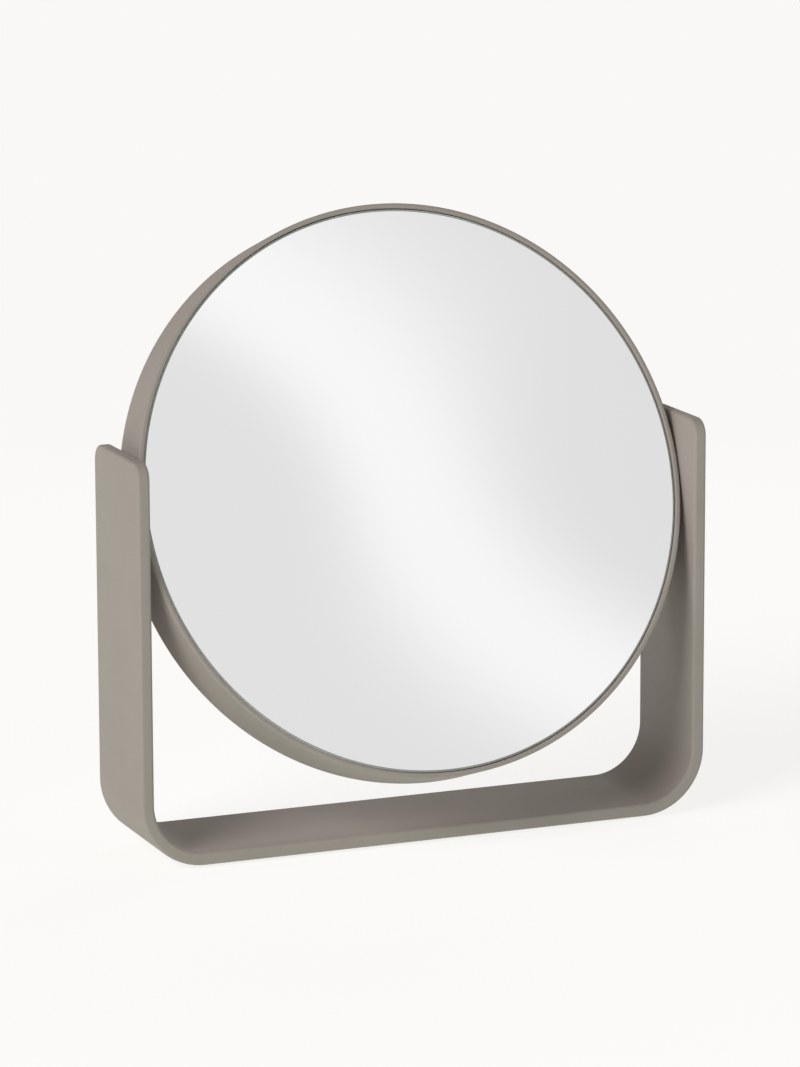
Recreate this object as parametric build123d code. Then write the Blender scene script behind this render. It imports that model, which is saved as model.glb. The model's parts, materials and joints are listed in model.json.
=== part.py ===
from build123d import *
import math
import os

os.makedirs("parts", exist_ok=True)

# A round two-sided mirror that turns between the arms of a U-shaped stand. All sizes are in millimetres.
# The origin is on the table under the middle of the stand: +X to the viewer's right, +Y away, +Z up.

# Stand: one flat bar bent into a U
stand_width = 230.0  # over the outsides of the two arms
bar_width = 49.0  # front to back
bar_thickness = 5.0
arm_rise = 24.0  # from the pivot to the arms' tops
bend_radius = 20.0  # inside of the two bends
arm_corner_radius = 6.5  # corners of the arms' tops, seen from the side
bar_edge_round = 1.2

# Non-slip pad under the flat of the bar
pad_thickness = 1.0
pad_inset = 4.5  # from the bar's long edges and from the bends
pad_corner_radius = 4.0

# Head: the band round it
head_clearance = 15.0  # to the flat of the bar, as the head turns over
rest_tilt = 18.7  # degrees that the head leans back
arm_gap = 0.7  # between each arm and the ring
ring_wall = 1.9
ring_outer_round = 0.8
ring_inner_round = 0.4

# Glasses
glass_recess = 1.0  # from the ring's edge to the glass
glass_gap = 0.3  # round the edge of the glass
front_glass_thickness = 3.0
front_glass_bevel = 0.5
rear_glass_thickness = 2.0
rear_glass_hollow = 6.7  # depth of the enlarging glass at its middle

# Soft layers under the glasses
foam_thickness = 1.0
foam_margin = 2.5  # from the edge of the glass
seat_clearance = 0.05

# Moulded core, in two halves that meet in the middle of the head's depth
core_clearance = 0.1  # to the ring
core_skin = 1.5
core_wall = 2.0
channel_inner_wall = 1.5
dish_clearance = 0.3  # from the back of the enlarging glass to the channel's inner edge
rib_count = 12
rib_thickness = 1.5
rib_depth = 3.5
hub_radius = 12.0
hub_wall = 2.0
housing_width = 18.0
housing_length = 4.6  # along the pivot axis
key_notch_width = 12.0  # in the inner wall, where the hex key passes

# Screws that join the halves
core_screw_count = 6
core_screw_inset = 8.0  # from the core's outer face to their middles
core_screw_radius = 1.5
core_screw_head_radius = 2.8
core_screw_head_height = 1.6
core_screw_bite = 4.0  # depth in the front half
core_screw_clearance = 0.1
core_screw_slot_length = 3.6  # each arm of the cross in the head
core_screw_slot_width = 0.7
core_screw_slot_depth = 0.8
core_boss_radius = 4.2

# Pivot hardware, the same on both sides
shoulder_radius = 2.5
thread_radius = 2.0
thread_length = 3.7
thread_clearance = 0.05
screw_head_radius = 4.5
screw_head_height = 2.6
socket_across_flats = 3.0
socket_depth = 1.6
spacer_radius = 6.0
spacer_thickness = 0.4
washer_radius = 5.0
washer_thickness = 1.0
washer_bore_clearance = 0.1
washer_side_clearance = 0.5  # to the core's skins
spring_thickness = 0.4
spring_cone = 0.35
thrust_clearance = 0.1
running_clearance = 0.03
bush_wall = 1.2
bush_end_inset = 0.2  # below the ring's outer face
bush_flange_radius = 5.0
bush_flange_thickness = 1.0
bush_seat_clearance = 0.05

# Places along X
arm_face = stand_width / 2 - bar_thickness
ring_radius = arm_face - arm_gap
ring_bore = ring_radius - ring_wall
core_radius = ring_bore - core_clearance
glass_radius = ring_bore - glass_gap
housing_face = core_radius - housing_length
bush_face = housing_face - bush_flange_thickness
inner_washer_face = bush_face - thrust_clearance
spring_face = inner_washer_face - washer_thickness
spring_height = spring_thickness + spring_cone
screw_head_face = spring_face - 2 * spring_height

# Places along the head's own depth, where the front is negative. The flat washers inside set it.
ring_depth = 2 * (
    washer_radius
    + washer_side_clearance
    + core_skin
    + foam_thickness
    + front_glass_thickness
    + glass_recess
)
front_face = -ring_depth / 2
front_glass_face = front_face + glass_recess
front_foam_face = front_glass_face + front_glass_thickness
core_front_face = front_foam_face + foam_thickness
core_rear_face = -core_front_face
rear_glass_rim = ring_depth / 2 - glass_recess

# The enlarging glass is a shell of a large ball, and the channel stays outside the hollow of its back
rear_glass_curve = (glass_radius**2 + rear_glass_hollow**2) / (2 * rear_glass_hollow)
rear_glass_back_curve = rear_glass_curve + rear_glass_thickness
dish_centre = rear_glass_rim + rear_glass_curve - rear_glass_hollow
channel_inner_radius = math.sqrt(
    rear_glass_back_curve**2 - (dish_centre - core_rear_face - dish_clearance) ** 2
)
seat_inner_radius = channel_inner_radius + channel_inner_wall
core_screw_circle = core_radius - core_screw_inset

# Places up Z
pivot_height = bar_thickness + math.hypot(ring_radius, ring_depth / 2) + head_clearance
arm_height = pivot_height + arm_rise
bar_underside = pad_thickness
pivot_z = bar_underside + pivot_height
arm_top = bar_underside + arm_height

bush_radius = shoulder_radius + running_clearance + bush_wall
bush_seat_radius = bush_radius + bush_seat_clearance
washer_bore = shoulder_radius + washer_bore_clearance

head_place = Pos(0, 0, pivot_z) * Rot(-rest_tilt, 0, 0)
pivot_place = Pos(0, 0, pivot_z)

tolerance = 0.01  # for finding edges by their place


# A solid cylinder along the head's depth axis
def disc(radius, near, far):
    return Pos(0, (near + far) / 2, 0) * Rot(90, 0, 0) * Cylinder(radius, abs(far - near))


def tube(outer, inner, near, far):
    return disc(outer, near, far) - disc(inner, near, far)


# A solid cylinder along the pivot axis
def rod(radius, start, end):
    return Pos((start + end) / 2, 0, 0) * Rot(0, 90, 0) * Cylinder(radius, abs(end - start))


def washer(outer, inner, start, end):
    return rod(outer, start, end) - rod(inner, start, end)


# Repeats a shape at equal angles round the head's depth axis
def around(shape, count, first_angle):
    return [Rot(0, first_angle + n * 360 / count, 0) * shape for n in range(count)]


def both_ends(shape):
    return [shape, mirror(shape, about=Plane.YZ)]


def save(shape, node, place=Location()):
    shape = place * shape
    shape.label = node
    export_step(shape, f"parts/{node}.step")


def make_bar():
    outer_bend = bend_radius + bar_thickness
    outline = Pos(0, 0, bar_underside) * Box(
        stand_width, bar_width, arm_height, align=(Align.CENTER, Align.CENTER, Align.MIN)
    )
    lower_edges = outline.edges().filter_by(Axis.Y).sort_by(Axis.Z)[:2]
    outline = fillet(lower_edges, outer_bend)
    inside = Pos(0, 0, bar_underside + bar_thickness) * Box(
        2 * arm_face, bar_width, arm_height, align=(Align.CENTER, Align.CENTER, Align.MIN)
    )
    inside_edges = inside.edges().filter_by(Axis.Y).sort_by(Axis.Z)[:2]
    bar = outline - fillet(inside_edges, bend_radius)
    top_corners = [
        edge for edge in bar.edges().filter_by(Axis.X) if edge.center().Z > arm_top - tolerance
    ]
    bar = fillet(top_corners, arm_corner_radius)
    bar = fillet(sharp_edges(bar), bar_edge_round)
    screw_hole = rod(
        thread_radius + thread_clearance,
        ring_radius,
        arm_face + thread_length + thread_clearance,
    )
    for hole in both_ends(screw_hole):
        bar -= pivot_place * hole
    return bar


# The bar's long edges and the arms' top edges, without the lines where a bend meets a flat
def sharp_edges(bar):
    across_arm_tops = [
        edge for edge in bar.edges().filter_by(Axis.X) if edge.length < bar_thickness + tolerance
    ]
    along_bends = [
        edge for edge in bar.edges().filter_by(Axis.Y) if edge.center().Z < arm_top - tolerance
    ]
    return bar.edges() - across_arm_tops - along_bends


def make_pad():
    length = stand_width - 2 * (bend_radius + bar_thickness + pad_inset)
    outline = RectangleRounded(length, bar_width - 2 * pad_inset, pad_corner_radius)
    return extrude(outline, pad_thickness)


def make_ring():
    ring = tube(ring_radius, ring_bore, front_face, -front_face)
    circles = ring.edges().filter_by(GeomType.CIRCLE)
    outer = [edge for edge in circles if edge.radius > ring_radius - tolerance]
    ring = fillet(outer, ring_outer_round)
    circles = ring.edges().filter_by(GeomType.CIRCLE)
    inner = [edge for edge in circles if edge.radius < ring_bore + tolerance]
    ring = fillet(inner, ring_inner_round)
    return ring - rod(bush_seat_radius, -arm_face, arm_face)


def make_front_glass():
    glass = disc(glass_radius, front_glass_face, front_foam_face)
    rim = glass.edges().filter_by(GeomType.CIRCLE).sort_by(Axis.Y)[0]
    return chamfer(rim, front_glass_bevel)


# Depth of a ball's surface at a distance from the head's axis
def dish_depth(ball_radius, distance):
    return dish_centre - math.sqrt(ball_radius**2 - distance**2)


def dish_arc(ball_radius, start, end):
    points = [
        (distance, dish_depth(ball_radius, distance))
        for distance in (start, (start + end) / 2, end)
    ]
    return ThreePointArc(*points)


def make_rear_glass():
    hollow = dish_arc(rear_glass_curve, 0, glass_radius)
    back = dish_arc(rear_glass_back_curve, 0, glass_radius)
    outline = hollow + back + Line(hollow @ 1, back @ 1) + Line(hollow @ 0, back @ 0)
    return revolve(make_face(outline), Axis.Y)


def make_seat_ring():
    top = dish_arc(
        rear_glass_back_curve + seat_clearance, seat_inner_radius, glass_radius - foam_margin
    )
    inner_foot = (seat_inner_radius, core_rear_face)
    outer_foot = (glass_radius - foam_margin, core_rear_face)
    outline = (
        top + Line(top @ 0, inner_foot) + Line(inner_foot, outer_foot) + Line(outer_foot, top @ 1)
    )
    return revolve(make_face(outline), Axis.Y)


# The front of a core half, with its walls, bosses and half of each pivot housing
def core_channel():
    inner_face = core_front_face + core_skin
    channel = tube(core_radius, channel_inner_radius, core_front_face, inner_face)
    channel += tube(core_radius, core_radius - core_wall, inner_face, 0)
    channel += tube(
        channel_inner_radius + channel_inner_wall, channel_inner_radius, inner_face, 0
    )
    housing = Pos((core_radius + housing_face) / 2, inner_face / 2, 0) * Box(
        core_radius - housing_face, abs(inner_face), housing_width
    )
    for block in both_ends(housing):
        channel += block & disc(core_radius, inner_face, 0)
    boss = Pos(core_screw_circle, 0, 0) * disc(core_boss_radius, inner_face, 0)
    for copy in around(boss, core_screw_count, 180 / core_screw_count):
        channel += copy
    notch = Pos(channel_inner_radius + channel_inner_wall / 2, inner_face / 2, 0) * Box(
        2 * channel_inner_wall, abs(inner_face), key_notch_width
    )
    for cut in both_ends(notch):
        channel -= cut
    return channel - rod(bush_seat_radius, -core_radius, core_radius)


def core_screw_holes(radius, near, far):
    hole = Pos(core_screw_circle, 0, 0) * disc(radius, near, far)
    return around(hole, core_screw_count, 180 / core_screw_count)


def make_core_front():
    inner_face = core_front_face + core_skin
    core = core_channel() + disc(channel_inner_radius, core_front_face, inner_face)
    core += tube(hub_radius, hub_radius - hub_wall, inner_face, inner_face + rib_depth)
    rib_length = channel_inner_radius - hub_radius + hub_wall / 2
    rib = Pos(channel_inner_radius - rib_length / 2, inner_face + rib_depth / 2, 0) * Box(
        rib_length, rib_depth, rib_thickness
    )
    for copy in around(rib, rib_count, 180 / rib_count):
        core += copy
    for hole in core_screw_holes(
        core_screw_radius + core_screw_clearance / 2, -core_screw_bite - core_screw_clearance, 0
    ):
        core -= hole
    return core


def make_core_rear():
    core = mirror(core_channel(), about=Plane.XZ)
    shank = core_screw_radius + core_screw_clearance
    for hole in core_screw_holes(shank, 0, core_rear_face):
        core -= hole
    head = core_screw_head_radius + core_screw_clearance
    depth = core_screw_head_height + core_screw_clearance
    for hole in core_screw_holes(head, core_rear_face - depth, core_rear_face):
        core -= hole
    return core


def make_core_screws():
    top = core_rear_face - core_screw_clearance
    under_head = top - core_screw_head_height
    screw = disc(core_screw_radius, -core_screw_bite, under_head)
    screw += disc(core_screw_head_radius, under_head, top)
    slot = Pos(0, top - core_screw_slot_depth / 2, 0) * Box(
        core_screw_slot_length, core_screw_slot_depth, core_screw_slot_width
    )
    screw -= slot
    screw -= Rot(0, 90, 0) * slot
    screw = Pos(core_screw_circle, 0, 0) * screw
    return Compound(around(screw, core_screw_count, 180 / core_screw_count))


def make_pivot_screw():
    socket = Rot(0, 90, 0) * extrude(
        RegularPolygon(socket_across_flats / 2, 6, major_radius=False), socket_depth
    )
    head_end = screw_head_face - screw_head_height
    screw = rod(shoulder_radius, screw_head_face, arm_face)
    screw += rod(thread_radius, arm_face, arm_face + thread_length)
    screw += rod(screw_head_radius, head_end, screw_head_face)
    return screw - Pos(head_end, 0, 0) * socket


def make_spacer():
    return washer(spacer_radius, washer_bore, arm_face - spacer_thickness, arm_face)


def make_inner_washer():
    return washer(washer_radius, washer_bore, spring_face, inner_washer_face)


# Two disc springs that face each other and meet at their bores
def make_springs():
    outline = Polyline(
        (spring_face, washer_radius),
        (spring_face - spring_thickness, washer_radius),
        (spring_face - spring_height, washer_bore),
        (spring_face - spring_cone, washer_bore),
        close=True,
    )
    first = revolve(make_face(outline), Axis.X)
    second = mirror(first, about=Plane.YZ.offset(spring_face - spring_height))
    return Compound([first, second])


def make_bush():
    bush = rod(bush_radius, housing_face, ring_radius - bush_end_inset)
    bush += rod(bush_flange_radius, bush_face, housing_face)
    return bush - rod(shoulder_radius + running_clearance, bush_face, ring_radius)


def save_pair(shape, node, place):
    save(shape, f"{node}_right", place)
    save(mirror(shape, about=Plane.YZ), f"{node}_left", place)


save(make_bar(), "stand_strap")
save(make_pad(), "base_pad")
save_pair(make_pivot_screw(), "pivot_screw", pivot_place)
save_pair(make_spacer(), "spacer_washer", pivot_place)
save_pair(make_inner_washer(), "inner_washer", pivot_place)
save_pair(make_springs(), "spring_washers", pivot_place)

save(make_ring(), "head_ring", head_place)
save(make_front_glass(), "front_glass", head_place)
save(disc(glass_radius - foam_margin, front_foam_face, core_front_face), "front_foam", head_place)
save(make_core_front(), "core_front", head_place)
save(make_core_rear(), "core_rear", head_place)
save(make_core_screws(), "core_screws", head_place)
save_pair(make_bush(), "pivot_bush", head_place)
save(make_seat_ring(), "rear_seat_ring", head_place)
save(make_rear_glass(), "rear_glass", head_place)
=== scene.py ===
import json
import math

import bmesh
import bpy
from mathutils import Matrix, Vector


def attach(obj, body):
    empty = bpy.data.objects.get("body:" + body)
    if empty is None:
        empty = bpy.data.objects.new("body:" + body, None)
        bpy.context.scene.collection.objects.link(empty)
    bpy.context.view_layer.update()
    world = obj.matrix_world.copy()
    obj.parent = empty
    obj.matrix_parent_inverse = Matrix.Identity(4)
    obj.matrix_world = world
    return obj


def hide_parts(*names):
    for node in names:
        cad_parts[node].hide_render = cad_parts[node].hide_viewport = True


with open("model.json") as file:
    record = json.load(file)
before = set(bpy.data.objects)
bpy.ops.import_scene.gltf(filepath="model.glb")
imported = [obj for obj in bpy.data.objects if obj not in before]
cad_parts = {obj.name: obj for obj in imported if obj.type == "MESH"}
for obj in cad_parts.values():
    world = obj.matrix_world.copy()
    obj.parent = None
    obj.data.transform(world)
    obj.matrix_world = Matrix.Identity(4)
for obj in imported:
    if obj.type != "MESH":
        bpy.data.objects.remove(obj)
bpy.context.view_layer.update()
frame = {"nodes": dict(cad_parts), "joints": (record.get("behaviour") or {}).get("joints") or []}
cadNodes = frame["nodes"]
pivotHeight = frame["joints"][0]["pos_m"][2]
print("frame loaded:", len(cadNodes), "CAD nodes")

# The head leans back at rest, and its pieces are made upright about the pivot, then put there
headTilt = math.radians(18.7)
headMiddle = Vector((0, 0, pivotHeight))
headPlace = Matrix.Translation(headMiddle) @ Matrix.Rotation(-headTilt, 4, "X")


def addObject(name, data):
    item = bpy.data.objects.new(name, data)
    bpy.context.scene.collection.objects.link(item)
    return item


# Node tree helpers, for materials and Geometry Nodes alike

def addNode(tree, kind, **settings):
    node = tree.nodes.new(kind)
    for key, value in settings.items():
        setattr(node, key, value)
    return node


def feed(tree, source, socket):
    if isinstance(source, bpy.types.NodeSocket):
        tree.links.new(source, socket)
    else:
        socket.default_value = source


def feedAll(tree, node, inputs):
    for name, source in inputs.items():
        feed(tree, source, node.inputs[name])
    return node.outputs[0]


def calc(tree, operation, *terms):
    node = addNode(tree, "ShaderNodeMath", operation=operation)
    for term, socket in zip(terms, node.inputs):
        feed(tree, term, socket)
    return node.outputs[0]


def joinXyz(tree, x, y, z):
    node = addNode(tree, "ShaderNodeCombineXYZ")
    for term, socket in zip((x, y, z), node.inputs):
        feed(tree, term, socket)
    return node.outputs[0]


def splitXyz(tree, source):
    node = addNode(tree, "ShaderNodeSeparateXYZ")
    feed(tree, source, node.inputs[0])
    return node.outputs


def distanceOut(tree, x, y):
    return calc(tree, "SQRT", calc(
        tree, "ADD", calc(tree, "MULTIPLY", x, x), calc(tree, "MULTIPLY", y, y)))


# Material helpers

def newMaterial(name):
    material = bpy.data.materials.new(name)
    material.use_nodes = True
    tree = material.node_tree
    tree.nodes.clear()
    output = addNode(tree, "ShaderNodeOutputMaterial")
    shader = addNode(tree, "ShaderNodeBsdfPrincipled")
    tree.links.new(shader.outputs[0], output.inputs[0])
    place = addNode(tree, "ShaderNodeTexCoord").outputs["Object"]
    return material, tree, shader, place


# Puts another shader in the place of a new material's own
def setSurface(tree, shader, surface):
    output = shader.outputs[0].links[0].to_node
    tree.nodes.remove(shader)
    tree.links.new(surface, output.inputs[0])


def noise(tree, place, scale, detail=2.0, roughness=0.5):
    node = addNode(tree, "ShaderNodeTexNoise")
    feedAll(tree, node, {"Vector": place, "Scale": scale, "Detail": detail, "Roughness": roughness})
    return node.outputs["Fac"]


def blendColours(tree, factor, first, second):
    node = addNode(tree, "ShaderNodeMix", data_type="RGBA")
    feed(tree, factor, node.inputs["Factor"])
    node.inputs[6].default_value = (*first, 1)  # the two colours are sockets 6 and 7
    node.inputs[7].default_value = (*second, 1)
    return node.outputs[2]


# From low to high while the factor goes from start to end
def spread(tree, factor, low, high, start, end):
    node = addNode(tree, "ShaderNodeMapRange")
    return feedAll(tree, node, {
        "Value": factor, "From Min": start, "From Max": end, "To Min": low, "To Max": high,
    })


def addBump(tree, shader, height, depth, strength):
    node = addNode(tree, "ShaderNodeBump")
    feedAll(tree, node, {"Height": height, "Distance": depth, "Strength": strength})
    tree.links.new(node.outputs[0], shader.inputs["Normal"])


# Noise seldom leaves this range, so a finish uses all of it for its two tones and its roughness
noiseRange = (0.3, 0.7)


# A finish with two nearby tones, a roughness range and fine relief, all from noise in real size
def mottled(name, look):
    material, tree, shader, place = newMaterial(name)
    patches = noise(tree, place, look["patchScale"], detail=3.0)
    grain = noise(tree, place, look["grainScale"], detail=4.0, roughness=0.6)
    tone = spread(tree, patches, 0, 1, *noiseRange)
    colour = blendColours(tree, tone, look["dark"], look["light"])
    tree.links.new(colour, shader.inputs["Base Color"])
    feed(tree, spread(tree, grain, *look["roughness"], *noiseRange), shader.inputs["Roughness"])
    shader.inputs["Metallic"].default_value = look.get("metallic", 0.0)
    shader.inputs["Specular IOR Level"].default_value = look.get("specular", 0.5)
    addBump(tree, shader, grain, look["relief"], look.get("reliefStrength", 1.0))
    return material


coatingLook = {
    "dark": (0.374, 0.325, 0.294), "light": (0.39, 0.341, 0.309),
    "patchScale": 40, "grainScale": 1800, "roughness": (0.62, 0.74),
    "relief": 0.00002, "reliefStrength": 0.35, "specular": 0.12,
}
coating = mottled("powderCoat", coatingLook)

padRubber = mottled("padRubber", {
    "dark": (0.018, 0.018, 0.018), "light": (0.03, 0.03, 0.03), "patchScale": 300,
    "grainScale": 2600, "roughness": (0.75, 0.9), "relief": 0.0001, "specular": 0.3,
})
seatRubber = mottled("seatRubber", {
    "dark": (0.035, 0.035, 0.035), "light": (0.055, 0.055, 0.055), "patchScale": 200,
    "grainScale": 2000, "roughness": (0.7, 0.85), "relief": 0.00005,
})
whiteFoam = mottled("whiteFoam", {
    "dark": (0.66, 0.66, 0.64), "light": (0.78, 0.78, 0.76), "patchScale": 900,
    "grainScale": 1600, "roughness": (0.85, 0.95), "relief": 0.0002,
})
corePlastic = mottled("corePlastic", {
    "dark": (0.1, 0.1, 0.1), "light": (0.13, 0.13, 0.13), "patchScale": 60,
    "grainScale": 2400, "roughness": (0.45, 0.6), "relief": 0.00003,
})
platedSteel = mottled("platedSteel", {
    "dark": (0.5, 0.5, 0.5), "light": (0.66, 0.65, 0.62), "patchScale": 250,
    "grainScale": 3500, "roughness": (0.25, 0.4), "relief": 0.00001, "metallic": 1.0,
})
blackNylon = mottled("blackNylon", {
    "dark": (0.03, 0.03, 0.03), "light": (0.045, 0.045, 0.045), "patchScale": 300,
    "grainScale": 2600, "roughness": (0.5, 0.62), "relief": 0.00003,
})
whiteAcetal = mottled("whiteAcetal", {
    "dark": (0.74, 0.74, 0.71), "light": (0.82, 0.82, 0.79), "patchScale": 300,
    "grainScale": 2600, "roughness": (0.3, 0.42), "relief": 0.00002,
})

# The silver behind the glass: nearly perfect, with faint unevenness of its polish
silverLook = {
    "colour": (0.935, 0.935, 0.935), "roughness": (0.0, 0.012), "hazeScale": 25,
    "hazeRange": (0.35, 0.65),
}


def makeSilver():
    material, tree, shader, place = newMaterial("silveredGlass")
    haze = noise(tree, place, silverLook["hazeScale"])
    shader.inputs["Base Color"].default_value = (*silverLook["colour"], 1)
    shader.inputs["Metallic"].default_value = 1.0
    polish = spread(tree, haze, *silverLook["roughness"], *silverLook["hazeRange"])
    feed(tree, polish, shader.inputs["Roughness"])
    return material


silver = makeSilver()
groundEdge = mottled("groundGlassEdge", {
    "dark": (0.72, 0.74, 0.72), "light": (0.82, 0.83, 0.81), "patchScale": 500,
    "grainScale": 3000, "roughness": (0.3, 0.4), "relief": 0.000005,
})
# Painted shade: a dark ring on the glass's front that stands in for the shadow of the gap at its
# edge
gapShadeLine = mottled("paintedGapShade", {
    "dark": (0.26, 0.27, 0.26), "light": (0.3, 0.31, 0.3), "patchScale": 400,
    "grainScale": 3000, "roughness": (0.25, 0.35), "relief": 0.000005,
})
mirrorBacking = mottled("mirrorBacking", {
    "dark": (0.2, 0.21, 0.22), "light": (0.26, 0.27, 0.28), "patchScale": 80,
    "grainScale": 1500, "roughness": (0.5, 0.65), "relief": 0.00003,
})
print("materials made")


# Geometry Nodes helpers

def newTree(name, sizes):
    tree = bpy.data.node_groups.new(name, "GeometryNodeTree")
    for label, value in sizes.items():
        kind = "NodeSocketInt" if isinstance(value, int) else "NodeSocketFloat"
        tree.interface.new_socket(label, in_out="INPUT", socket_type=kind)
    tree.interface.new_socket("material", in_out="INPUT", socket_type="NodeSocketMaterial")
    tree.interface.new_socket("mesh", in_out="OUTPUT", socket_type="NodeSocketGeometry")
    return tree, addNode(tree, "NodeGroupInput").outputs


drillSides = 64
drillOverrun = 0.001  # from a wall's face to the end of the drill in the open


# Both pivot holes, drilled along X through whatever stands between two distances from the middle
def drillPair(tree, mesh, radius, near, far, height):
    drill = addNode(tree, "GeometryNodeMeshCylinder")
    depth = calc(tree, "SUBTRACT", far, near)
    feedAll(tree, drill, {"Vertices": drillSides, "Radius": radius, "Depth": depth})
    cut = addNode(tree, "GeometryNodeMeshBoolean", operation="DIFFERENCE", solver="EXACT")
    tree.links.new(mesh, cut.inputs["Mesh 1"])
    middle = calc(tree, "MULTIPLY", calc(tree, "ADD", near, far), 0.5)
    for side in (-1, 1):
        turned = addNode(tree, "GeometryNodeTransform")
        feedAll(tree, turned, {
            "Geometry": drill.outputs["Mesh"],
            "Translation": joinXyz(tree, calc(tree, "MULTIPLY", middle, side), 0.0, height),
            "Rotation": (0, math.pi / 2, 0),
        })
        tree.links.new(turned.outputs[0], cut.inputs["Mesh 2"])
    return cut.outputs["Mesh"]


sharpTurn = math.radians(40)


# Smooth faces with sharp edges where the surface turns by more than that, then the finish
def finishTree(tree, mesh, material):
    smooth = addNode(tree, "GeometryNodeSetShadeSmooth", domain="FACE")
    tree.links.new(mesh, smooth.inputs["Geometry"])
    angle = addNode(tree, "GeometryNodeInputMeshEdgeAngle").outputs[0]
    sharp = addNode(tree, "GeometryNodeSetShadeSmooth", domain="EDGE")
    feedAll(tree, sharp, {
        "Geometry": smooth.outputs[0],
        "Selection": calc(tree, "GREATER_THAN", angle, sharpTurn),
        "Shade Smooth": False,
    })
    whole = addNode(tree, "GeometryNodeRealizeInstances")
    tree.links.new(sharp.outputs[0], whole.inputs["Geometry"])
    painted = addNode(tree, "GeometryNodeSetMaterial")
    feedAll(tree, painted, {"Geometry": whole.outputs[0], "Material": material})
    tree.links.new(painted.outputs[0], addNode(tree, "NodeGroupOutput").inputs[0])


def bakeTree(name, tree, sizes, material):
    piece = addObject(name, bpy.data.meshes.new(name))
    maker = piece.modifiers.new("maker", "NODES")
    maker.node_group = tree
    values = dict(sizes, material=material)
    for item in tree.interface.items_tree:
        if item.in_out == "INPUT":
            maker[item.identifier] = values[item.name]
    evenNormals = piece.modifiers.new("evenNormals", "WEIGHTED_NORMAL")
    evenNormals.keep_sharp = True
    evenNormals.weight = 100  # the largest faces decide
    shown = piece.evaluated_get(bpy.context.evaluated_depsgraph_get())
    mesh = bpy.data.meshes.new_from_object(shown)
    mesh.name = name
    piece.modifiers.clear()
    piece.data = mesh
    print(name, "has", len(mesh.polygons), "faces")
    return piece


# Stand: one flat bar bent into a U. Past an arm's straight part, the rows of the bar go round its
# corners and then close towards the middle of its top edge.

strapSizes = {
    "standWidth": 0.230, "armTop": 0.154957, "underside": 0.001, "barWidth": 0.049,
    "barThickness": 0.005, "bendRadius": 0.020, "cornerRadius": 0.0065, "edgeRound": 0.0012,
    "rowStep": 0.0007, "edgeRows": 6, "bendRows": 64, "mergeDistance": 0.000002,
    "holeRadius": 0.00205, "holeDepth": 0.00375, "pivotHeight": pivotHeight,
}

# Below these a point counts as on a middle line: its distance, and the product of two distances
onMiddle = 1e-6
onEitherMiddle = 1e-9


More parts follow.
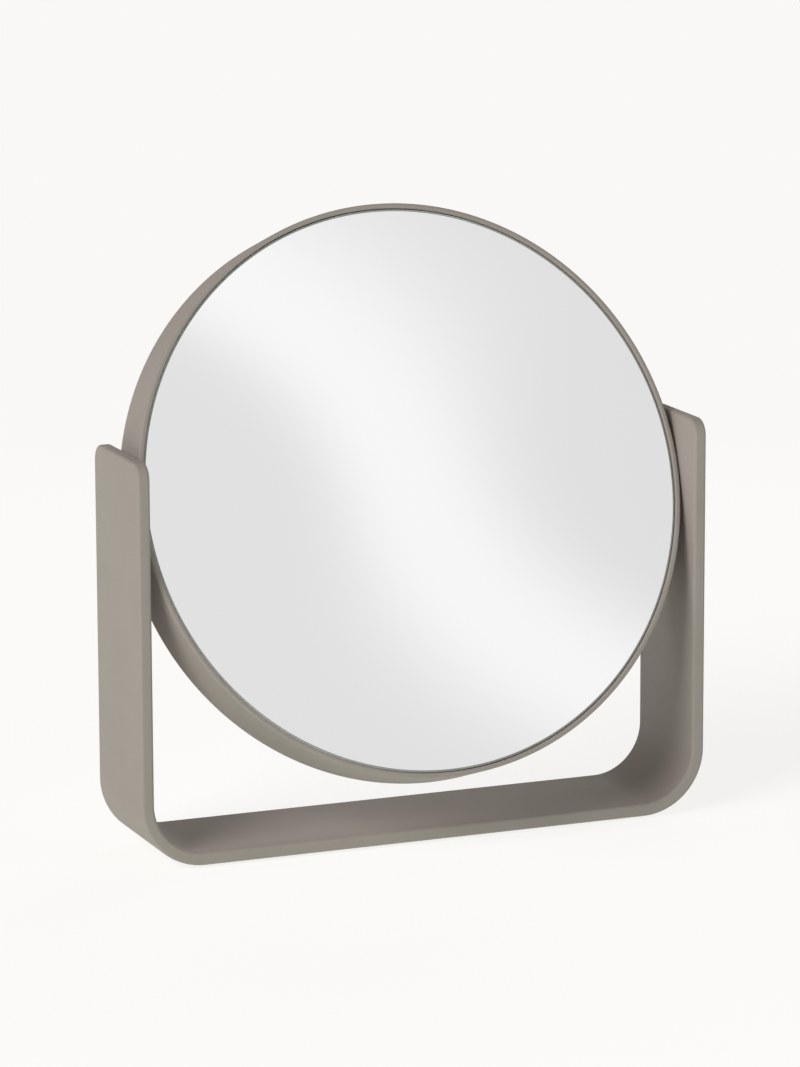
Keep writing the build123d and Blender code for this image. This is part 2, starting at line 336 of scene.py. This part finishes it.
def buildStrapTree():
    tree, size = newTree("bentBar", strapSizes)
    halfBar = calc(tree, "MULTIPLY", size["barWidth"], 0.5)
    halfWall = calc(tree, "MULTIPLY", size["barThickness"], 0.5)
    armX = calc(tree, "SUBTRACT", calc(tree, "MULTIPLY", size["standWidth"], 0.5), halfWall)
    baseZ = calc(tree, "ADD", size["underside"], halfWall)
    cornerStart = calc(tree, "SUBTRACT", size["armTop"], size["cornerRadius"])
    cornerArc = calc(tree, "MULTIPLY", size["cornerRadius"], math.pi / 2)
    topHalf = calc(tree, "SUBTRACT", halfBar, size["cornerRadius"])
    extra = calc(tree, "ADD", cornerArc, topHalf)
    pathTop = calc(tree, "ADD", cornerStart, extra)

    # Four points of the path: down the left arm, across, and up the right arm
    index = addNode(tree, "GeometryNodeInputIndex").outputs[0]
    isRight = calc(tree, "GREATER_THAN", index, 1.5)
    isLow = calc(tree, "LESS_THAN", calc(tree, "ABSOLUTE", calc(tree, "SUBTRACT", index, 1.5)), 1.0)
    x = calc(tree, "MULTIPLY", armX, calc(tree, "MULTIPLY_ADD", isRight, 2.0, -1.0))
    z = calc(tree, "MULTIPLY_ADD", isLow, calc(tree, "SUBTRACT", baseZ, pathTop), pathTop)
    points = addNode(tree, "GeometryNodePoints")
    feedAll(tree, points, {"Count": 4, "Position": joinXyz(tree, x, 0.0, z)})
    path = addNode(tree, "GeometryNodePointsToCurves")
    tree.links.new(points.outputs[0], path.inputs["Points"])
    bent = addNode(tree, "GeometryNodeFilletCurve", mode="POLY")
    feedAll(tree, bent, {
        "Curve": path.outputs[0], "Count": size["bendRows"],
        "Radius": calc(tree, "ADD", size["bendRadius"], halfWall),
    })
    rows = addNode(tree, "GeometryNodeResampleCurve", mode="LENGTH")
    feedAll(tree, rows, {"Curve": bent.outputs[0], "Length": size["rowStep"]})
    faced = addNode(tree, "GeometryNodeSetCurveNormal", mode="FREE")
    feedAll(tree, faced, {"Curve": rows.outputs[0], "Normal": (0, 1, 0)})

    # The bar's section, with a point in the middle of each side
    section = addNode(tree, "GeometryNodeCurvePrimitiveQuadrilateral", mode="RECTANGLE")
    feedAll(tree, section, {"Width": size["barWidth"], "Height": size["barThickness"]})
    halved = addNode(tree, "GeometryNodeSubdivideCurve")
    feedAll(tree, halved, {"Curve": section.outputs[0], "Cuts": 1})
    sectionPlace = splitXyz(tree, addNode(tree, "GeometryNodeInputPosition").outputs[0])
    product = calc(tree, "MULTIPLY", sectionPlace[0], sectionPlace[1])
    isCorner = calc(tree, "GREATER_THAN", calc(tree, "ABSOLUTE", product), onEitherMiddle)
    rounded = addNode(tree, "GeometryNodeFilletCurve", mode="POLY")
    feedAll(tree, rounded, {
        "Curve": halved.outputs[0], "Count": size["edgeRows"],
        "Radius": calc(tree, "MULTIPLY", isCorner, size["edgeRound"]),
    })
    bar = addNode(tree, "GeometryNodeCurveToMesh")
    feedAll(tree, bar, {"Curve": faced.outputs[0], "Profile Curve": rounded.outputs[0]})

    # Rounds the arms' corners and closes their tops
    place = splitXyz(tree, addNode(tree, "GeometryNodeInputPosition").outputs[0])
    past = calc(tree, "MAXIMUM", calc(tree, "SUBTRACT", place[2], cornerStart), 0.0)
    angle = calc(tree, "MINIMUM", calc(tree, "DIVIDE", past, size["cornerRadius"]), math.pi / 2)
    closing = calc(tree, "MAXIMUM", calc(tree, "SUBTRACT", past, cornerArc), 0.0)
    sideways = calc(tree, "ABSOLUTE", place[1])
    isMiddle = calc(tree, "LESS_THAN", sideways, onMiddle)
    skeleton = calc(tree, "SUBTRACT", size["cornerRadius"], size["edgeRound"])
    proud = calc(tree, "SUBTRACT", sideways, calc(tree, "SUBTRACT", halfBar, size["edgeRound"]))
    reach = calc(tree, "ADD", skeleton, proud)
    edgeY = calc(tree, "ADD", calc(tree, "SUBTRACT", topHalf, closing),
                 calc(tree, "MULTIPLY", reach, calc(tree, "COSINE", angle)))
    edgeZ = calc(tree, "MULTIPLY", reach, calc(tree, "SINE", angle))
    middleZ = calc(tree, "MULTIPLY", skeleton, calc(tree, "DIVIDE", past, extra))
    y = calc(tree, "MULTIPLY", edgeY, calc(tree, "SIGN", place[1]))
    y = calc(tree, "MULTIPLY", y, calc(tree, "SUBTRACT", 1.0, isMiddle))
    rise = calc(tree, "MULTIPLY_ADD", isMiddle, calc(tree, "SUBTRACT", middleZ, edgeZ), edgeZ)
    z = calc(tree, "ADD", calc(tree, "MINIMUM", place[2], cornerStart), rise)
    shaped = addNode(tree, "GeometryNodeSetPosition")
    feedAll(tree, shaped, {"Geometry": bar.outputs[0], "Position": joinXyz(tree, place[0], y, z)})
    closed = addNode(tree, "GeometryNodeMergeByDistance")
    feedAll(tree, closed, {"Geometry": shaped.outputs[0], "Distance": size["mergeDistance"]})
    armFace = calc(tree, "SUBTRACT", armX, halfWall)
    drilled = drillPair(
        tree, closed.outputs[0], size["holeRadius"],
        calc(tree, "SUBTRACT", armFace, drillOverrun),
        calc(tree, "ADD", armFace, size["holeDepth"]), size["pivotHeight"],
    )
    finishTree(tree, drilled, size["material"])
    return tree


strap = bakeTree("bent_bar", buildStrapTree(), strapSizes, coating)
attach(strap, "stand")
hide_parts("stand_strap")
# The mirrors show the pale surroundings alone, with no stand in them
strap.visible_glossy = False
cadNodes["base_pad"].visible_glossy = False


# Head: the band round it, its section swept round a circle
ringSizes = {
    "radius": 0.1093, "wall": 0.0019, "depth": 0.024, "outerRound": 0.0008, "innerRound": 0.0004,
    "segments": 420, "edgeRows": 6, "holeRadius": 0.00378, "tilt": headTilt,
    "pivotHeight": pivotHeight,
}


def buildRingTree():
    tree, size = newTree("roundBand", ringSizes)
    halfWall = calc(tree, "MULTIPLY", size["wall"], 0.5)
    circle = addNode(tree, "GeometryNodeCurvePrimitiveCircle", mode="RADIUS")
    feedAll(tree, circle, {
        "Resolution": size["segments"], "Radius": calc(tree, "SUBTRACT", size["radius"], halfWall),
    })
    faced = addNode(tree, "GeometryNodeSetCurveNormal", mode="FREE")
    outward = addNode(tree, "GeometryNodeInputPosition").outputs[0]
    feedAll(tree, faced, {"Curve": circle.outputs[0], "Normal": outward})
    section = addNode(tree, "GeometryNodeCurvePrimitiveQuadrilateral", mode="RECTANGLE")
    feedAll(tree, section, {"Width": size["wall"], "Height": size["depth"]})
    sectionPlace = splitXyz(tree, addNode(tree, "GeometryNodeInputPosition").outputs[0])
    isOuter = calc(tree, "GREATER_THAN", sectionPlace[0], 0.0)
    rounded = addNode(tree, "GeometryNodeFilletCurve", mode="POLY")
    feedAll(tree, rounded, {
        "Curve": section.outputs[0], "Count": size["edgeRows"],
        "Radius": calc(tree, "MULTIPLY_ADD", isOuter,
                       calc(tree, "SUBTRACT", size["outerRound"], size["innerRound"]),
                       size["innerRound"]),
    })
    band = addNode(tree, "GeometryNodeCurveToMesh")
    feedAll(tree, band, {"Curve": faced.outputs[0], "Profile Curve": rounded.outputs[0]})
    leaned = addNode(tree, "GeometryNodeTransform")
    feedAll(tree, leaned, {
        "Geometry": band.outputs[0], "Translation": joinXyz(tree, 0.0, 0.0, size["pivotHeight"]),
        "Rotation": joinXyz(tree, calc(tree, "SUBTRACT", math.pi / 2, size["tilt"]), 0.0, 0.0),
    })
    drilled = drillPair(
        tree, leaned.outputs[0], size["holeRadius"],
        calc(tree, "SUBTRACT", size["radius"], calc(tree, "MULTIPLY", size["wall"], 2.0)),
        calc(tree, "ADD", size["radius"], drillOverrun), size["pivotHeight"],
    )
    finishTree(tree, drilled, size["material"])
    return tree


ring = bakeTree("round_band", buildRingTree(), ringSizes, coating)
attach(ring, "mirror_head")
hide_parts("head_ring")


# Turned pieces: an outline of (radius, depth) points from the front pole to the back pole, with
# the finish of each stretch between two points
def turnPiece(name, outline, finishes, segments, sharpAngle):
    build = bmesh.new()
    angles = [2 * math.pi * n / segments for n in range(segments)]
    rings = []
    for radius, depth in outline:
        if radius == 0:
            rings.append([build.verts.new((0, depth, 0))] * segments)
            continue
        rings.append([
            build.verts.new((radius * math.sin(a), depth, radius * math.cos(a))) for a in angles
        ])
    palette = []
    for near, far, finish in zip(rings, rings[1:], finishes):
        if finish not in palette:
            palette.append(finish)
        for n in range(segments):
            m = (n + 1) % segments
            corners = dict.fromkeys((near[n], near[m], far[m], far[n]))
            face = build.faces.new(list(corners))
            face.material_index = palette.index(finish)
            face.smooth = True
    bmesh.ops.recalc_face_normals(build, faces=build.faces)
    mesh = bpy.data.meshes.new(name)
    build.to_mesh(mesh)
    build.free()
    mesh.transform(headPlace)
    for finish in palette:
        mesh.materials.append(finish)
    mesh.set_sharp_from_angle(angle=math.radians(sharpAngle))
    piece = addObject(name, mesh)
    print(name, "has", len(mesh.polygons), "faces")
    return piece


# A thin dark ring is painted on the glass between the silver and the bevel: painted shade for the
# gap between the glass and the band
plainMirror = {
    "radius": 0.1071, "front": -0.011, "thickness": 0.003, "bevel": 0.0005, "gapShadeWidth": 0.0003,
    "segments": 420, "sharpAngle": 20,
}


def buildPlainMirror(size):
    back = size["front"] + size["thickness"]
    flatRadius = size["radius"] - size["bevel"]
    outline = [
        (0, size["front"]), (flatRadius - size["gapShadeWidth"], size["front"]),
        (flatRadius, size["front"]), (size["radius"], size["front"] + size["bevel"]),
        (size["radius"], back), (0, back),
    ]
    finishes = [silver, gapShadeLine, groundEdge, groundEdge, mirrorBacking]
    return turnPiece("plain_mirror", outline, finishes, size["segments"], size["sharpAngle"])


frontMirror = buildPlainMirror(plainMirror)
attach(frontMirror, "mirror_head")
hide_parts("front_glass")

enlargingMirror = {
    "radius": 0.1071, "rim": 0.011, "hollow": 0.0067, "thickness": 0.002, "rings": 28,
    "segments": 280, "sharpAngle": 30,
}


# Both faces of the enlarging mirror belong to balls with one middle, behind the object
def buildEnlargingMirror(size):
    curve = (size["radius"] ** 2 + size["hollow"] ** 2) / (2 * size["hollow"])
    middle = size["rim"] + curve - size["hollow"]
    radii = [size["radius"] * n / size["rings"] for n in range(size["rings"] + 1)]
    hollowFace = [(r, middle - math.sqrt(curve ** 2 - r ** 2)) for r in radii]
    backCurve = curve + size["thickness"]
    backFace = [(r, middle - math.sqrt(backCurve ** 2 - r ** 2)) for r in radii]
    outline = backFace + hollowFace[::-1]
    finishes = [mirrorBacking] * size["rings"] + [groundEdge] + [silver] * size["rings"]
    return turnPiece("enlarging_mirror", outline, finishes, size["segments"], size["sharpAngle"])


rearMirror = buildEnlargingMirror(enlargingMirror)
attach(rearMirror, "mirror_head")
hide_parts("rear_glass")


# The pieces inside and under keep their CAD shapes and get their finishes
finishOf = {
    "base_pad": padRubber, "front_foam": whiteFoam, "core_front": corePlastic,
    "core_rear": corePlastic, "core_screws": platedSteel, "rear_seat_ring": seatRubber,
    "pivot_screw": platedSteel, "inner_washer": platedSteel, "spring_washers": platedSteel,
    "spacer_washer": blackNylon, "pivot_bush": whiteAcetal,
}
for nodeName, piece in cadNodes.items():
    finish = finishOf.get(nodeName) or finishOf.get(nodeName.rsplit("_", 1)[0])
    if finish:
        piece.data.materials.clear()
        piece.data.materials.append(finish)
print("CAD nodes finished")


# Camera, at the photograph's place. Lens and distance give the same perspective.
photoCamera = {
    "azimuth": -22.173, "elevation": 11.875, "roll": -0.203, "target": (0, 0, 0.086),
    "distance": 1.93763, "right": 0.001601, "up": -0.02867, "lens": 171.95, "sensor": 36,
}


def placeCamera(view):
    azimuth, elevation, roll = (math.radians(view[k]) for k in ("azimuth", "elevation", "roll"))
    back = Vector((
        math.sin(azimuth) * math.cos(elevation), -math.cos(azimuth) * math.cos(elevation),
        math.sin(elevation),
    ))
    levelRight = Vector((0, 0, 1)).cross(back).normalized()
    levelUp = back.cross(levelRight)
    right = math.cos(roll) * levelRight + math.sin(roll) * levelUp
    up = -math.sin(roll) * levelRight + math.cos(roll) * levelUp
    aside = view["right"] * right + view["up"] * up
    place = Vector(view["target"]) + back * view["distance"] - aside
    data = bpy.data.cameras.new("photoCamera")
    data.lens = view["lens"]
    data.sensor_width = view["sensor"]
    camera = addObject("photoCamera", data)
    turn = Matrix((right, up, back)).transposed()
    camera.matrix_world = Matrix.Translation(place) @ turn.to_4x4()
    bpy.context.scene.camera = camera
    return right, up, place


cameraRight, cameraUp, cameraSpot = placeCamera(photoCamera)
print("camera placed")


# Studio: pale floor and surroundings, a soft key from the left, a small fill from the front right
# and a lamp behind. Surroundings and floor have one tone for what is seen and another for the
# light that they give the object.
studio = {
    "background": (0.956, 0.939, 0.922), "mirrored": 0.8, "fillColour": (0.9, 1.0, 0.93),
    "fill": 0.13, "floorColour": (0.9, 0.9, 0.9), "bounceColour": (0.84, 0.92, 0.86),
    "bounce": 0.4, "floorRadius": 14.0, "floorSides": 96, "fadeStart": 0.2, "fadeEnd": 0.8,
    "nearShare": 0.72, "nearGlow": 1.2,
}


def lightPathSeen(tree):
    path = addNode(tree, "ShaderNodeLightPath").outputs
    seen = calc(tree, "MAXIMUM", path["Is Camera Ray"], path["Is Glossy Ray"])
    return calc(tree, "MAXIMUM", seen, path["Is Transmission Ray"]), path


def mixShaders(tree, factor, first, second):
    node = addNode(tree, "ShaderNodeMixShader")
    feed(tree, factor, node.inputs[0])
    tree.links.new(first, node.inputs[1])
    tree.links.new(second, node.inputs[2])
    return node.outputs[0]


def buildWorld():
    world = bpy.data.worlds.new("studio")
    bpy.context.scene.world = world
    world.use_nodes = True
    tree = world.node_tree
    tree.nodes.clear()
    seen, path = lightPathSeen(tree)
    lit = addNode(tree, "ShaderNodeBackground")
    feedAll(tree, lit, {"Color": (*studio["fillColour"], 1), "Strength": studio["fill"]})
    shown = addNode(tree, "ShaderNodeBackground")
    feedAll(tree, shown, {"Color": (*studio["background"], 1), "Strength": 1.0})
    reflected = addNode(tree, "ShaderNodeBackground")
    feedAll(tree, reflected, {"Color": (1, 1, 1, 1), "Strength": studio["mirrored"]})
    visible = mixShaders(tree, path["Is Glossy Ray"], shown.outputs[0], reflected.outputs[0])
    both = mixShaders(tree, seen, lit.outputs[0], visible)
    tree.links.new(both, addNode(tree, "ShaderNodeOutputWorld").inputs[0])


# Near the object the floor takes its shadow, and further out it fades into the even background
def buildFloor():
    material, tree, shader, place = newMaterial("paleFloor")
    seen, _ = lightPathSeen(tree)
    diffuse = addNode(tree, "ShaderNodeBsdfDiffuse")
    colour = blendColours(tree, seen, studio["bounceColour"], studio["floorColour"])
    tree.links.new(colour, diffuse.inputs["Color"])
    returned = addNode(tree, "ShaderNodeEmission")
    feedAll(tree, returned, {
        "Color": (*studio["bounceColour"], 1),
        "Strength": calc(tree, "MULTIPLY_ADD", seen, -studio["bounce"], studio["bounce"]),
    })
    real = addNode(tree, "ShaderNodeAddShader")
    tree.links.new(diffuse.outputs[0], real.inputs[0])
    tree.links.new(returned.outputs[0], real.inputs[1])
    even = addNode(tree, "ShaderNodeEmission")
    even.inputs["Color"].default_value = (*studio["background"], 1)
    x, y, _ = splitXyz(tree, place)
    away = distanceOut(tree, x, y)
    fade = spread(tree, away, studio["nearShare"], 1.0, studio["fadeStart"], studio["fadeEnd"])
    glow = spread(tree, away, studio["nearGlow"], 1.0, studio["fadeStart"], studio["fadeEnd"])
    tree.links.new(glow, even.inputs["Strength"])
    share = calc(tree, "MULTIPLY", fade, seen)
    setSurface(tree, shader, mixShaders(tree, share, real.outputs[0], even.outputs[0]))
    build = bmesh.new()
    bmesh.ops.create_circle(
        build, cap_ends=True, segments=studio["floorSides"], radius=studio["floorRadius"])
    mesh = bpy.data.meshes.new("floor")
    build.to_mesh(mesh)
    build.free()
    mesh.materials.append(material)
    floor = addObject("floor", mesh)


buildWorld()
buildFloor()

# Each lamp is a rectangle that faces the head's middle. Level is the brightness of its face,
# where 1 is white.
lamps = {
    "keyLamp": {
        "towards": (-0.77, -0.38, 0.54), "distance": 4.0, "size": (2.0, 2.0), "level": 8.3,
        "colour": (1.0, 0.97, 0.96),
    },
    "fillLamp": {
        "towards": (0.55, -0.78, 0.35), "distance": 1.8, "size": (1.2, 1.2), "level": 0.7,
        "colour": (0.93, 1.0, 1.04),
    },
    "backLamp": {
        "towards": (0.6, 0.8, 0.3), "distance": 1.8, "size": (1.2, 1.2), "level": 1.6,
        "colour": (1.0, 1.0, 0.98),
    },
}


def addLamp(name, lamp):
    data = bpy.data.lights.new(name, "AREA")
    data.shape = "RECTANGLE"
    data.size, data.size_y = lamp["size"]
    data.color = lamp["colour"]
    data.energy = lamp["level"] * math.pi * data.size * data.size_y
    towards = Vector(lamp["towards"]).normalized()
    turn = towards.to_track_quat("Z", "Y").to_matrix().to_4x4()
    item = addObject(name, data)
    item.matrix_world = Matrix.Translation(headMiddle + towards * lamp["distance"]) @ turn
    item.visible_camera = False
    item.visible_glossy = False


for lampName, lamp in lamps.items():
    addLamp(lampName, lamp)


# Pale screen above the camera and to its right. Its brighter band gives the soft ridge on the
# plain mirror at rest. Only reflections show it, and it lights nothing.
screenLook = {
    "distance": 2.6, "halfSize": 1.1, "dark": 0.797, "bright": 0.19, "ridgeX": -0.0075,
    "slope": -0.4, "curl": -16.0, "shiftY": 0.008, "width": 0.08, "widening": 2.5,
    "skew": 0.15, "flatness": 2.5, "lean": -0.036, "fadeStart": 0.45, "fadeEnd": 0.95,
}


# Brightness over the screen: an even tone that leans a little, a curved band that is wider at its
# ends, and a fade to the tone of the surroundings
def screenLevel(tree, place):
    x, y, _ = splitXyz(tree, place)
    y = calc(tree, "SUBTRACT", y, screenLook["shiftY"])
    square = calc(tree, "MULTIPLY", y, y)
    cube = calc(tree, "MULTIPLY", square, y)
    ridge = calc(tree, "MULTIPLY_ADD", y, screenLook["slope"], screenLook["ridgeX"])
    ridge = calc(tree, "MULTIPLY_ADD", cube, screenLook["curl"], ridge)
    width = calc(tree, "MULTIPLY_ADD", square, screenLook["widening"], screenLook["width"])
    offset = calc(tree, "DIVIDE", calc(tree, "SUBTRACT", x, ridge), width)
    oneSide = calc(tree, "MULTIPLY", calc(tree, "SIGN", offset), -screenLook["skew"])
    offset = calc(tree, "ABSOLUTE", calc(
        tree, "MULTIPLY", offset, calc(tree, "ADD", oneSide, 1.0)))
    offset = calc(tree, "POWER", offset, screenLook["flatness"])
    glow = calc(tree, "EXPONENT", calc(tree, "MULTIPLY", offset, -1.0))
    level = calc(tree, "MULTIPLY_ADD", glow, screenLook["bright"], screenLook["dark"])
    level = calc(tree, "MULTIPLY_ADD", x, screenLook["lean"], level)
    outer = spread(
        tree, distanceOut(tree, x, y), 0.0, 1.0, screenLook["fadeStart"], screenLook["fadeEnd"])
    change = calc(tree, "SUBTRACT", studio["mirrored"], level)
    return calc(tree, "MULTIPLY_ADD", outer, change, level)


# The screen stands where the plain mirror, at rest, sends what the camera sees in it
def buildScreen():
    facing = headPlace.to_3x3() @ Vector((0, -1, 0))

    def reflected(direction):
        return direction - 2 * direction.dot(facing) * facing

    outward = reflected((headMiddle - cameraSpot).normalized())
    right = reflected(cameraRight)
    up = reflected(cameraUp)
    material, tree, shader, place = newMaterial("paleScreen")
    glowing = addNode(tree, "ShaderNodeEmission")
    feed(tree, screenLevel(tree, place), glowing.inputs["Strength"])
    setSurface(tree, shader, glowing.outputs[0])
    half = screenLook["halfSize"]
    corners = [(-half, -half, 0), (half, -half, 0), (half, half, 0), (-half, half, 0)]
    mesh = bpy.data.meshes.new("paleScreen")
    mesh.from_pydata(corners, [], [(0, 1, 2, 3)])
    mesh.materials.append(material)
    screen = addObject("paleScreen", mesh)
    turn = Matrix((right, up, outward)).transposed().to_4x4()
    screen.matrix_world = Matrix.Translation(headMiddle + outward * screenLook["distance"]) @ turn
    screen.visible_camera = False
    screen.visible_diffuse = False
    screen.visible_shadow = False
    screen.visible_transmission = False


buildScreen()
bpy.context.scene.view_settings.view_transform = "Standard"
print("studio lit")
